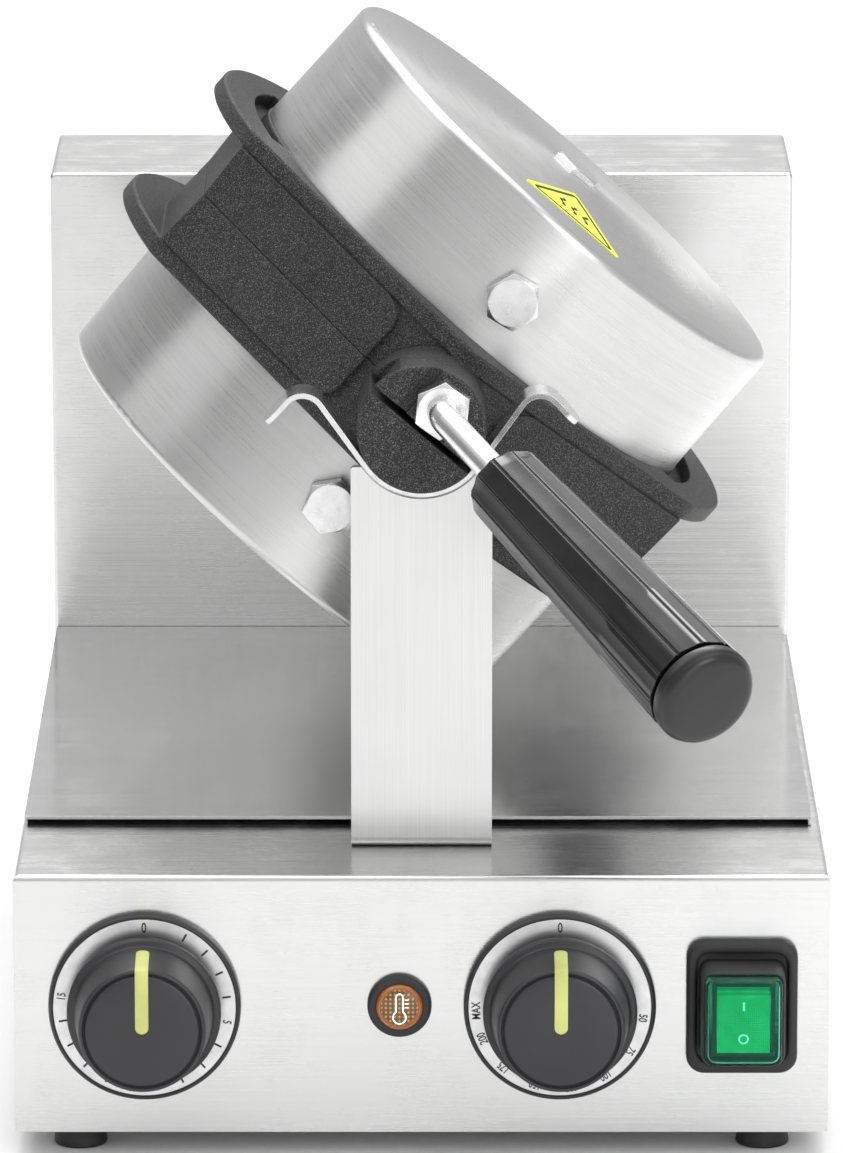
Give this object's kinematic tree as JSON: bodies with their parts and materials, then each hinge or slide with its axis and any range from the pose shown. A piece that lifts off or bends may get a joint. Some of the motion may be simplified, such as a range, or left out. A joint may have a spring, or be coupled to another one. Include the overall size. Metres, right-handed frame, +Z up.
{
  "type": "waffle cone maker",
  "caption": "Counter-top rotary waffle cone maker: a round hinged iron that turns over on a front cradle and rear shaft, above a low steel base with dials and a switch.",
  "frame": {"origin": "on the counter plane, under the middle of the overall envelope at rest, handle and cord gland included", "axes": "+X to the operator's right, +Y from the control panel to the back, +Z up"},
  "size_m": [0.27, 0.5742, 0.3569],
  "materials": {
    "stainless": "fine brushed stainless sheet",
    "tray_steel": "polished stainless sheet",
    "cast_iron": "black sand-cast texture, lightly oiled",
    "bright_steel": "bright plated steel",
    "fastener_steel": "zinc-plated steel",
    "black_bakelite": "glossy moulded phenolic",
    "black_plastic": "satin moulded plastic",
    "dial_plate": "printed satin aluminium",
    "pointer_yellow": "satin coloured plastic",
    "black_rubber": "matt moulded rubber",
    "lamp_amber": "clear amber lens",
    "clear_green": "clear flexible boot tinted green",
    "switch_green": "translucent moulded lens",
    "label_yellow": "printed film",
    "mineral_wool": "pressed mineral fibre",
    "heater_sheath": "heat-tinted tube",
    "bronze": "sintered bronze",
    "grey_plastic": "moulded thermoplastic"
  },
  "bodies": {
    "base": {"base_shell": "stainless", "bottom_plate": "stainless", "rear_box": "stainless", "back_panel": "stainless", "screw_tabs": "stainless", "panel_screws": "fastener_steel", "feet": "black_rubber", "foot_studs": "fastener_steel", "foot_nuts": "fastener_steel", "front_bracket": "stainless", "bracket_screws": "fastener_steel", "hub_cradle": "stainless", "bearing_housing": "cast_iron", "bearing_screws": "fastener_steel", "shaft_bush": "bronze", "stop_pins": "fastener_steel", "timer_dial": "black_plastic", "timer_scale": "dial_plate", "timer_body": "grey_plastic", "thermostat_dial": "black_plastic", "thermostat_scale": "dial_plate", "thermostat_body": "grey_plastic", "lamp_bezel": "black_rubber", "lamp_lens": "lamp_amber", "lamp_body": "grey_plastic", "switch_frame": "black_rubber", "switch_cover": "clear_green", "switch_body": "grey_plastic", "cable_gland": "black_plastic", "gland_nut": "black_plastic", "terminal_block": "grey_plastic"},
    "drum": {"lower_casting": "cast_iron", "lower_cover": "stainless", "lower_cover_bolts": "fastener_steel", "lower_side_nut": "fastener_steel", "lower_heater": "heater_sheath", "lower_insulation": "mineral_wool", "hinge_pins": "bright_steel", "drum_shaft": "bright_steel", "stop_collar": "fastener_steel", "retaining_ring": "fastener_steel"},
    "lid": {"upper_casting": "cast_iron", "upper_cover": "stainless", "upper_cover_bolts": "fastener_steel", "upper_side_nut": "fastener_steel", "upper_heater": "heater_sheath", "upper_insulation": "mineral_wool", "cover_label": "label_yellow", "handle_nut": "bright_steel", "handle_rod": "bright_steel", "handle_grip": "black_bakelite", "handle_end_cap": "black_plastic"},
    "timer_knob_body": {"timer_knob": "black_plastic", "timer_pointer": "pointer_yellow", "timer_spindle": "fastener_steel"},
    "thermostat_knob_body": {"thermostat_knob": "black_plastic", "thermostat_pointer": "pointer_yellow", "thermostat_spindle": "fastener_steel"},
    "rocker_body": {"switch_rocker": "switch_green"},
    "tray_body": {"drip_tray": "tray_steel"}
  },
  "joints": [
    {"name": "drum_turn", "type": "hinge", "parent": "base", "child": "drum", "pos_m": [0, 0.02563, 0.24], "axis": [0, -1, 0], "range_deg": [-139, 41]},
    {"name": "lid_hinge", "type": "hinge", "parent": "drum", "child": "lid", "pos_m": [0.00919, 0.13763, 0.25057], "axis": [-0.7547, 0, 0.6561], "range_deg": [0, 75]},
    {"name": "timer_turn", "type": "hinge", "parent": "base", "child": "timer_knob_body", "pos_m": [-0.0917, -0.16787, 0.053], "axis": [0, 1, 0], "range_deg": [0, 277]},
    {"name": "thermostat_turn", "type": "hinge", "parent": "base", "child": "thermostat_knob_body", "pos_m": [0.0458, -0.16787, 0.053], "axis": [0, 1, 0], "range_deg": [0, 268]},
    {"name": "switch_rock", "type": "hinge", "parent": "base", "child": "rocker_body", "pos_m": [0.1061, -0.15887, 0.053], "axis": [-1, 0, 0], "range_deg": [0, 16]},
    {"name": "tray_slide", "type": "slide", "parent": "base", "child": "tray_body", "axis": [-1, 0, 0], "range_m": [-0.28, 0.28]}
  ]
}
